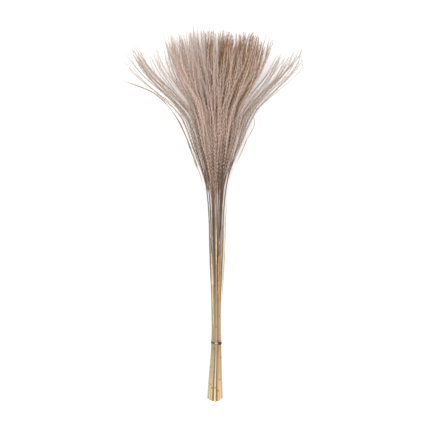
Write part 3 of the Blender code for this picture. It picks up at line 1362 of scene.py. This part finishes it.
    def add_branches(self, stack: MeshStack, paths: np.ndarray, core: Core) -> None:
        """Add the thin branches and the stalk in the middle that carries them.

        Args:
            stack: The mesh that they go to.
            paths: The branches' points.
            core: The CAD plume's core.
        """
        share = np.linspace(0.0, 1.0, self.samples)
        radii = self.branch_radius * (1.0 - self.branch_taper * share)
        for branch, path in enumerate(paths):
            rings = tube_rings(path, radii, self.branch_sides)
            stack.add_skin(rings, 0.01 + 0.97 * share, across=self.strip(branch, self.branch_map))
        end = self.axis_share * (core.along[-1] - core.along[0])
        stalk = core.at(core.along[0] + np.linspace(-self.axis_sunk, end, self.axis_rounds))
        radii = self.axis_radius * np.linspace(1.0, 0.35, self.axis_rounds)
        rings = tube_rings(stalk, radii, self.axis_sides)
        along = np.linspace(0.01, 0.4, self.axis_rounds)
        stack.add_skin(rings, along, across=self.strip(self.branches, self.axis_map))

    def tufts(self, paths: np.ndarray, chance: np.random.Generator) -> Tufts:
        """Space the tufts evenly along the branches, left and right in turn.

        Args:
            paths: The branches' points.
            chance: The plume's own random numbers.

        Returns:
            The tufts.
        """
        lengths = np.linalg.norm(np.diff(paths, axis=1), axis=-1).sum(1)
        counts = (lengths * (1.0 - self.bare_share) / self.tuft_spacing).astype(int)
        branch = np.repeat(np.arange(len(paths)), counts)
        order = np.arange(counts.sum()) - np.repeat(np.cumsum(counts) - counts, counts)
        share = self.bare_share + (1.0 - self.bare_share) * (order + 0.5) / counts[branch]
        place = share * (self.samples - 1)
        low = np.minimum(place.astype(int), self.samples - 2)
        part = (place - low)[:, None]
        base = paths[branch, low] * (1.0 - part) + paths[branch, low + 1] * part
        ahead, level, upward = (vectors[branch, low] for vectors in across_path(paths))
        at_end = ease(0.0, self.thin_end, 1.0 - share)
        full = ease(*self.filling, share) * (self.end_fullness + (1.0 - self.end_fullness) * at_end)
        full = full * chance.uniform(0.8, 1.12, len(share))
        twist = chance.uniform(0.0, 2.0 * math.pi, len(paths))[branch]
        turn = np.arange(len(share)) * math.pi + twist + chance.normal(0.0, self.tuft_stray, len(share))
        return Tufts(base, ahead, level, upward, turn, full, self.column(branch), share)

    def add_spikes(
        self,
        stack: MeshStack,
        tufts: Tufts,
        heading: np.ndarray,
        length: np.ndarray,
        width: np.ndarray,
        shape: SpikeShape,
        side: np.ndarray | float = 1.0,
    ) -> None:
        """Add closed spikes, one for each tuft.

        Args:
            stack: The mesh that they go to.
            tufts: Where they grow.
            heading: Their unit directions, (N, 3).
            length: Their lengths, (N,).
            width: Their half widths at the thickest, (N,).
            shape: How one of them is made.
            side: 1 or -1 for the half of the column that each lies in.
        """
        level = unit(np.cross(heading, UP))
        upward = np.cross(level, heading)
        points = tufts.base[:, None] + heading[:, None] * (shape.forward * length[:, None])[..., None]
        around = level[:, None] * np.cos(shape.turn)[:, None]
        around = around + upward[:, None] * np.sin(shape.turn)[:, None]
        points = points + around * (shape.thick * width[:, None])[..., None]
        points[..., 2] = np.maximum(points[..., 2], FLOOR_CLEARANCE)
        long_share = (length / self.hair_length[1]).clip(0.0, 1.0)[:, None]
        aside = (shape.aside + shape.spread * long_share) * np.reshape(side, (-1, 1))
        across = (tufts.column[:, None] + 0.5 + aside) / COLUMNS
        upright = 0.01 + 0.95 * tufts.along[:, None] + shape.rise
        count, corners = points.shape[:2]
        faces = (np.arange(count)[:, None, None] * corners + shape.faces).reshape(-1, 3)
        places = np.stack((across, upright), -1).reshape(-1, 2)
        stack.add(points.reshape(-1, 3), faces, places[faces])

    def add_feathering(self, stack: MeshStack, paths: np.ndarray, chance: np.random.Generator) -> None:
        """Add the husks and hairs along the branches.

        Args:
            stack: The mesh that they go to.
            paths: The branches' points.
            chance: The plume's own random numbers.
        """
        tufts = self.tufts(paths, chance)
        for flip, lean in self.husk_leans:
            length, width = self.husk_length * tufts.full, self.husk_width * (0.4 + 0.6 * tufts.full)
            self.add_spikes(stack, tufts, tufts.heading(tufts.turn + flip, lean), length, width, HUSK)
        many = tufts.repeated(self.hairs)
        count = len(many.turn)
        turn = many.turn + chance.normal(0.0, self.hair_spread, count)
        heading = many.heading(turn, chance.normal(*self.hair_lean, count).clip(0.05, 1.0))
        slip = chance.uniform(-self.hair_slip, self.hair_slip, count)[:, None] * many.ahead
        along = (many.along + chance.normal(0.0, 0.006, count)).clip(0.0, 1.0)
        many = replace(many, base=many.base + slip, along=along)
        length = chance.uniform(*self.hair_length, count) * many.full
        width = self.hair_width * chance.uniform(0.7, 1.2, count)
        side = np.where(np.cos(turn) > 0.0, 1.0, -1.0)
        self.add_spikes(stack, many, heading, length, width, HAIR, side)

    def build(self, wardrobe: Wardrobe) -> bpy.types.Object:
        """Build and dress the plume.

        Args:
            wardrobe: The materials.

        Returns:
            The piece.
        """
        chance = np.random.default_rng(self.seed + self.number)
        node = f"plume_{self.number:02d}"
        core = Core.of_node(node)
        paths = self.paths(core, chance)
        stack = MeshStack()
        self.add_branches(stack, paths, core)
        self.add_feathering(stack, paths, chance)
        return settle(stack.build(f"feather_{node}", [wardrobe.get(self.finish)]), node)


# ---------------------------------------------------------------------------------------------------------
# Leaves
# ---------------------------------------------------------------------------------------------------------


@dataclass
class Leaf:
    """One dried leaf: a thin blade, folded along its middle, twisted and a little wavy."""

    node: str
    finish: Blade
    widen: float = 1.0
    fold: float = 0.45
    twist: float = 0.8
    twist_waves: float = 2.2
    wave: float = 0.12
    drift: tuple[float, float, float] = (0.0, 0.0, 0.0)
    ripples: float = 24.0
    foot_width: float = 0.25
    taper: tuple[float, float] = (0.06, 0.08)
    lengthwise: int = 90
    crosswise: int = 9
    thickness: float = 0.00022
    seed: int = 31

    def route(self) -> tuple[np.ndarray, np.ndarray, np.ndarray]:
        """Read the CAD blade's rings of four corners.

        Returns:
            The middles, the unit directions across, and the half widths of the rings.
        """
        rings = node_corners(self.node).reshape(-1, 4, 3)
        middles = rings.mean(1)
        spokes = rings - middles[:, None]
        reach = np.linalg.norm(spokes, axis=-1)
        widest = reach.argmax(1)
        across = np.take_along_axis(spokes, widest[:, None, None], 1)[:, 0]
        for k in range(1, len(across)):
            if across[k] @ across[k - 1] < 0.0:
                across[k] = -across[k]
        return middles, unit(across), reach.max(1)

    def grids(self, chance: np.random.Generator) -> tuple[np.ndarray, np.ndarray]:
        """Shape the blade's front and back.

        Args:
            chance: The leaf's own random numbers.

        Returns:
            The two grids of points.
        """
        middles, across, half = self.route()
        knots = np.linspace(0.0, 1.0, len(middles))
        share = np.linspace(0.0, 1.0, self.lengthwise)
        path = smooth_read(knots, middles, share) + ease(0.3, 1.0, share)[:, None] * np.array(self.drift)
        side = unit(smooth_read(knots, across, share))
        width = smooth_read(knots, half[:, None], share)[:, 0] * self.widen
        fullness = ease(0.0, self.taper[0], share) * ease(0.0, self.taper[1], 1.0 - share)
        width = width * (self.foot_width + (1.0 - self.foot_width) * fullness)
        ahead = unit(np.gradient(path, axis=0))
        out = unit(np.cross(side, ahead))
        out = -out if out[:, 2].sum() < 0.0 else out
        phase = chance.uniform(0.0, 2.0 * math.pi, 2)
        turn = self.twist * np.sin(self.twist_waves * math.pi * share + phase[0])
        flat = side * np.cos(turn)[:, None] + out * np.sin(turn)[:, None]
        normal = out * np.cos(turn)[:, None] - side * np.sin(turn)[:, None]
        place = np.linspace(-1.0, 1.0, self.crosswise)
        ripple = np.sin(place * 2.0 + self.ripples * share[:, None] + phase[1])
        lift = self.fold * np.abs(place) + self.wave * ripple
        sheet = path[:, None] + flat[:, None] * (place * width[:, None])[..., None]
        sheet = sheet + normal[:, None] * (lift * width[:, None])[..., None]
        sheet[..., 2] = np.maximum(sheet[..., 2], FLOOR_CLEARANCE)
        half_thick = normal[:, None] * self.thickness / 2.0
        return sheet + half_thick, sheet - half_thick

    def build(self, wardrobe: Wardrobe) -> bpy.types.Object:
        """Build and dress the leaf.

        Args:
            wardrobe: The materials.

        Returns:
            The piece.
        """
        chance = np.random.default_rng(len(self.node) * self.seed)
        stack = MeshStack()
        front, back = self.grids(chance)
        stack.add_sheet(front, back, slot=0)
        return settle(stack.build(f"dry_{self.node}", [wardrobe.get(self.finish)]), self.node)


# ---------------------------------------------------------------------------------------------------------
# Tie
# ---------------------------------------------------------------------------------------------------------


@dataclass
class CableTie:
    """The tie round the stems: a glossy strap with rolled edges, a head, and a trimmed tail with teeth."""

    turn: float = math.radians(-3.0)

    # The strap
    strap_width: float = 0.0048
    strap_thickness: float = 0.0012
    edge: float = 0.00035
    bead: float = 2.2
    flat_from: float = 3.0
    bead_height: float = 0.5
    rounds: int = 128
    strap_map: tuple[tuple[float, float], tuple[float, float]] = ((0.02, 0.60), (0.02, 0.78))
    clearance: float = 0.0002
    least_facing: float = 0.2
    evening: int = 2
    sharp_angle: float = math.radians(31.0)

    # The head, the tail and its teeth
    head_at: float = math.radians(50.0)
    head: tuple[float, float, float] = (0.0050, 0.0070, 0.0070)
    head_edge: float = 0.0007
    head_sunk: float = 0.0008
    head_corner: float = 0.64
    tail: tuple[float, float, float] = (0.0012, 0.0043, 0.0062)
    tail_corner: float = 0.82
    teeth: int = 5
    tooth: tuple[float, float, float] = (0.0003, 0.00301, 0.00026)
    tooth_edge: float = 0.00005
    block_from: float = 0.80
    block_map: tuple[float, float] = (0.15, 0.16)
    block_slip: float = 0.15

    def section(self) -> np.ndarray:
        """Draw the strap's section, with edges that stand a little proud of its outer face.

        Returns:
            Pairs of distance outward from the strap's inner face and distance along the bundle.
        """
        half = self.strap_width / 2.0
        thick = self.strap_thickness
        edge = self.edge
        bead, flat = self.bead * edge, self.flat_from * edge
        face = thick - self.bead_height * edge
        return np.array((
            (edge, -half), (thick - edge, -half), (thick, -half + edge), (thick, -half + bead),
            (face, -half + flat), (face, half - flat), (thick, half - bead), (thick, half - edge),
            (thick - edge, half), (edge, half), (0.0, half - edge), (0.0, -half + edge),
        ))

    def girth(self, middle: Vector) -> np.ndarray:
        """Find how far out the strap lies when it is pulled tight over the stems.

        Args:
            middle: The middle of the tie.

        Returns:
            The distance of its inner face at each of its rounds.
        """
        turn = 2.0 * math.pi * np.arange(self.rounds) / self.rounds
        away = np.stack((np.cos(turn), np.sin(turn)), -1)
        at = np.array((middle.y,))
        cores = [Core.of_node(f"stem_{number:02d}") for number in range(1, STALKS + 1)]
        spots = np.array([core.at(at)[0, [0, 2]] for core in cores]) - np.array((middle.x, middle.z))
        radii = np.array([core.size_at(at)[0].mean() for core in cores])
        support = (spots @ away.T + radii[:, None]).max(0) + self.clearance
        facing = np.cos(turn[:, None] - turn)
        least = self.least_facing
        reach = np.where(facing > least, support[:, None] / np.maximum(facing, least), np.inf).min(0)
        for _ in range(self.evening):
            reach = (np.roll(reach, 1) + 2.0 * reach + np.roll(reach, -1)) / 4.0
        return reach

    def add_strap(self, stack: MeshStack, girth: np.ndarray) -> None:
        """Add the strap.

        Args:
            stack: The mesh that it goes to.
            girth: The distance of its inner face at each round.
        """
        section = self.section()
        turn = 2.0 * math.pi * np.arange(self.rounds) / self.rounds
        away = np.stack((np.cos(turn), np.zeros_like(turn), np.sin(turn)), -1)
        reach = girth[:, None] + section[:, 0]
        rings = away[:, None] * reach[..., None] + LENGTHWISE * section[:, 1, None]
        across, along = self.strap_map
        stack.add_skin(rings, np.linspace(*along, self.rounds + 1), looped=True, across=across)

    def add_block(
        self, stack: MeshStack, size: Sequence[float], middle: Vector, edge: float, corner: float
    ) -> None:
        """Add a block with rounded edges, made on the right side and then turned up round the strap.

        Args:
            stack: The mesh that it goes to.
            size: Its full sizes.
            middle: Its middle.
            edge: The radius of its edges.
            corner: Where its part of the map starts across.
        """
        shape = bmesh.new()
        bmesh.ops.create_cube(shape, size=1.0)
        bmesh.ops.scale(shape, vec=Vector(size), verts=shape.verts)
        bmesh.ops.bevel(shape, geom=shape.edges[:], offset=edge, segments=3, profile=0.5, affect="EDGES")
        bmesh.ops.translate(shape, vec=middle, verts=shape.verts)
        bmesh.ops.triangulate(shape, faces=shape.faces[:])
        points = np.array([vertex.co[:] for vertex in shape.verts])
        faces = np.array([[vertex.index for vertex in face.verts] for face in shape.faces])
        shape.free()
        points, faces = in_fixed_order(points, faces)
        low, span = points.min(0), np.ptp(points, axis=0)
        unit_places = (points - low) / span
        points = points @ np.array(Matrix.Rotation(-self.head_at, 3, "Y")).T
        outward, lengthwise, upward = unit_places.T
        slip = self.block_slip * outward
        across = corner + self.block_map[0] * (lengthwise + slip)
        along = self.block_from + self.block_map[1] * (upward + slip) / (1.0 + self.block_slip)
        stack.add(points, faces, np.stack((across, along), -1)[faces])

    def build(self, wardrobe: Wardrobe) -> bpy.types.Object:
        """Build and dress the tie.

        Args:
            wardrobe: The materials.

        Returns:
            The piece.
        """
        middle = tie_middle()
        stack = MeshStack()
        girth = self.girth(middle)
        self.add_strap(stack, girth)
        head_round = round(self.head_at / (2.0 * math.pi) * self.rounds)
        head_x = girth[head_round] + self.strap_thickness - self.head_sunk + self.head[0] / 2.0
        head_middle = Vector((head_x, 0.0, 0.0))
        self.add_block(stack, self.head, head_middle, self.head_edge, self.head_corner)
        tail_middle = Vector((head_x, 0.0, -self.tail[2] / 2.0))
        self.add_block(stack, self.tail, tail_middle, self.edge, self.tail_corner)
        bare = self.tail[2] - self.head[2] / 2.0
        for k in range(self.teeth):
            height = -self.head[2] / 2.0 - (k + 0.7) * bare / (self.teeth + 1)
            place = Vector((head_x - self.tail[0] / 2.0, 0.0, height))
            self.add_block(stack, self.tooth, place, self.tooth_edge, self.head_corner)
        piece = stack.build("cable_tie", [wardrobe.get(TIE_PLASTIC)])
        piece.data.set_sharp_from_angle(angle=self.sharp_angle)
        piece.matrix_world = Matrix.Translation(middle) @ Matrix.Rotation(self.turn, 4, "Z")
        return settle(piece, "tie")


# ---------------------------------------------------------------------------------------------------------
# Studio
# ---------------------------------------------------------------------------------------------------------


@dataclass(frozen=True)
class Panel:
    """A flat lamp: its middle, the spot that it faces, its width, its depth and its power in watts."""

    place: tuple[float, float, float]
    target: tuple[float, float, float]
    width: float
    depth: float
    power: float


@dataclass
class Studio:
    """A pale floor, soft light from large panels and a camera that looks straight down."""

    floor_size: float = 90.0
    sky: str = "ffffff"
    sky_strength: float = 1.0
    panels: tuple[Panel, ...] = (
        Panel((0.0, -0.74, 3.5), (0.0, 0.0, 0.0), 1.2, 1.2, 52.0),
        Panel((-1.5, 0.8, 2.2), (0.0, 0.2, 0.0), 2.4, 2.4, 15.0),
    )
    lens: float = 100.0
    sensor: float = 36.0
    view_span: float = 1.138
    view_shift: tuple[float, float] = (-0.0030, 0.0023)
    view_height: float = 0.06
    view_reach: float = 200.0

    def lay_floor(self, wardrobe: Wardrobe) -> None:
        """Lay the floor under the bundle.

        Args:
            wardrobe: The materials.
        """
        half = self.floor_size / 2.0
        mesh = bpy.data.meshes.new("studio_floor")
        corners = [(-half, -half, 0.0), (half, -half, 0.0), (half, half, 0.0), (-half, half, 0.0)]
        mesh.from_pydata(corners, [], [(0, 1, 2, 3)])
        mesh.materials.append(wardrobe.get(FLOOR))
        floor = bpy.data.objects.new("studio_floor", mesh)
        bpy.context.scene.collection.objects.link(floor)

    def light(self) -> None:
        """Fill the room with even light and hang the panels."""
        world = bpy.data.worlds.new("studio_sky")
        world.use_nodes = True
        background = world.node_tree.nodes["Background"]
        background.inputs["Color"].default_value = linear(self.sky)
        background.inputs["Strength"].default_value = self.sky_strength
        bpy.context.scene.world = world
        for number, panel in enumerate(self.panels, 1):
            self.hang_panel(f"panel_{number}", panel)

    def hang_panel(self, name: str, panel: Panel) -> None:
        """Hang one panel.

        Args:
            name: The panel's name.
            panel: Its place, size and power.
        """
        lamp = bpy.data.lights.new(name, "AREA")
        lamp.shape = "RECTANGLE"
        lamp.size = panel.width
        lamp.size_y = panel.depth
        lamp.energy = panel.power
        holder = bpy.data.objects.new(name, lamp)
        holder.location = panel.place
        holder.rotation_mode = "QUATERNION"
        aim = Vector(panel.target) - Vector(panel.place)
        holder.rotation_quaternion = aim.to_track_quat("-Z", "Y")
        bpy.context.scene.collection.objects.link(holder)

    def place_camera(self) -> None:
        """Place the camera over the bundle, with the plumes at the top of the view."""
        lens = bpy.data.cameras.new("camera")
        lens.lens = self.lens
        lens.sensor_width = self.sensor
        lens.clip_end = self.view_reach
        camera = bpy.data.objects.new("camera", lens)
        distance = self.view_span * self.lens / self.sensor
        middle_y = (CAD_BOX[0].y + CAD_BOX[1].y) / 2.0
        camera.location = (
            tie_middle().x + self.view_shift[0],
            middle_y + self.view_shift[1],
            self.view_height + distance,
        )
        bpy.context.scene.collection.objects.link(camera)
        bpy.context.scene.camera = camera

    def build(self, wardrobe: Wardrobe) -> None:
        """Set up the floor, the light and the camera.

        Args:
            wardrobe: The materials.
        """
        self.lay_floor(wardrobe)
        self.light()
        self.place_camera()
        bpy.context.scene.view_settings.view_transform = "Standard"


# ---------------------------------------------------------------------------------------------------------
# The whole bundle
# ---------------------------------------------------------------------------------------------------------


@dataclass
class Bundle:
    """All the pieces of the bundle, in the order that they are made."""

    seed: int = 5
    straws: tuple[Straw, ...] = (
        Straw.OLIVE, Straw.TAN, Straw.TAN, Straw.PALE, Straw.RUSSET, Straw.OLIVE, Straw.PLUM,
        Straw.PLUM, Straw.PALE, Straw.TAN, Straw.PALE, Straw.OLIVE, Straw.PLUM, Straw.PALE,
        Straw.TAN, Straw.RUSSET, Straw.PALE, Straw.PALE, Straw.OLIVE,
    )
    # The DARK sheaths add dark strips that are partly painted shade between the stems.
    sheaths: tuple[Blade, ...] = (Blade.TAN, Blade.PALE, Blade.DARK, Blade.TAN, Blade.DARK)
    side_branches: int = 8
    middle_branches: int = 22
    side_place: float = 0.6
    side_push: tuple[float, float] = (-0.027, 0.016)
    side_overshoot: float = 0.034
    side_hair_length: tuple[float, float] = (0.0040, 0.0082)
    side_branch_radius: float = 0.0006
    upper_push: float = 0.06
    upper_overshoot: float = 0.041
    rosy_height: float = 0.11
    golden_from: float = -0.02
    stems: list[Stem] = field(default_factory=list)
    plumes: list[Plume] = field(default_factory=list)
    leaves: list[Leaf] = field(default_factory=list)

    def choose(self) -> None:
        """Give every stem, plume and leaf its own finish."""
        chance = np.random.default_rng(self.seed)
        tips = {number: self.tip_of(number) for number in range(1, STALKS + 1)}
        outmost = max(abs(tip[0]) for tip in tips.values())
        tallest = max(tips, key=lambda number: tips[number][1])
        for number, tip in tips.items():
            sheath = self.sheaths[int(chance.integers(len(self.sheaths)))]
            self.stems.append(Stem(number, self.straws[number - 1], sheath))
            if abs(tip[0]) > self.side_place * outmost:
                self.plumes.append(self.side_plume(number, tip))
            else:
                self.plumes.append(self.middle_plume(number, tip, number == tallest))
        self.leaves = [
            Leaf("leaf_long_arch", Blade.TAN, widen=2.0, twist=0.3, drift=(-0.013, 0.013, 0.0)),
            Leaf("leaf_right_curl", Blade.GREY, widen=2.0, twist=0.4),
            # The dark blade's near-black colour is partly painted shade of a gap between stems.
            Leaf("leaf_dark_blade", Blade.DARK, widen=1.3, fold=0.25, twist=0.2),
            Leaf("leaf_pale_sheath", Blade.PALE),
            Leaf("leaf_left_thread", Blade.GREY),
            Leaf("leaf_low_thread", Blade.TAN),
            Leaf("leaf_under_blade", Blade.TAN, twist=0.3),
            Leaf("leaf_old_sheath", Blade.PALE, fold=0.3, twist=0.3),
        ]

    @staticmethod
    def tip_of(number: int) -> np.ndarray:
        """Find where a plume ends, as seen from the tie's middle."""
        return Core.of_node(f"plume_{number:02d}").centre[-1] - np.array(tie_middle())

    def side_plume(self, number: int, tip: np.ndarray) -> Plume:
        """Plan a plume that stands apart at one side: fewer and thicker branches, and shorter hairs.

        Args:
            number: The plume's number.
            tip: Its end, as seen from the tie's middle.

        Returns:
            The plume.
        """
        return Plume(
            number,
            self.side_branches,
            Fluff.ASHEN,
            reach=0.95,
            push=self.side_push[int(tip[0] > 0.0)],
            rounded=0.08,
            overshoot=self.side_overshoot,
            branch_radius=self.side_branch_radius,
            hair_length=self.side_hair_length,
        )

    def middle_plume(self, number: int, tip: np.ndarray, tallest: bool) -> Plume:
        """Plan a plume of the middle group, whose ends stand out further unless it is the tallest."""
        plume = Plume(number, self.middle_branches, self.fluff_for(tip), push=self.upper_push * tip[0])
        return plume if tallest else replace(plume, overshoot=self.upper_overshoot)

    def fluff_for(self, tip: np.ndarray) -> Fluff:
        """Choose the colour of a plume in the middle group from where it ends.

        Args:
            tip: Its end, as seen from the tie's middle.

        Returns:
            The colour.
        """
        if tip[2] > self.rosy_height:
            return Fluff.ROSY
        return Fluff.GOLDEN if tip[0] > self.golden_from else Fluff.TAUPE

    def build(self, wardrobe: Wardrobe) -> None:
        """Build every piece.

        Args:
            wardrobe: The materials.
        """
        self.choose()
        for part in (*self.stems, *self.plumes, *self.leaves, CableTie()):
            part.build(wardrobe)


def main() -> None:
    """Build the bundle and the studio round it."""
    logging.basicConfig(level=logging.INFO, format="%(name)s: %(message)s")
    wardrobe = Wardrobe()
    Bundle().build(wardrobe)
    Studio().build(wardrobe)


if __name__ == "__main__":
    main()
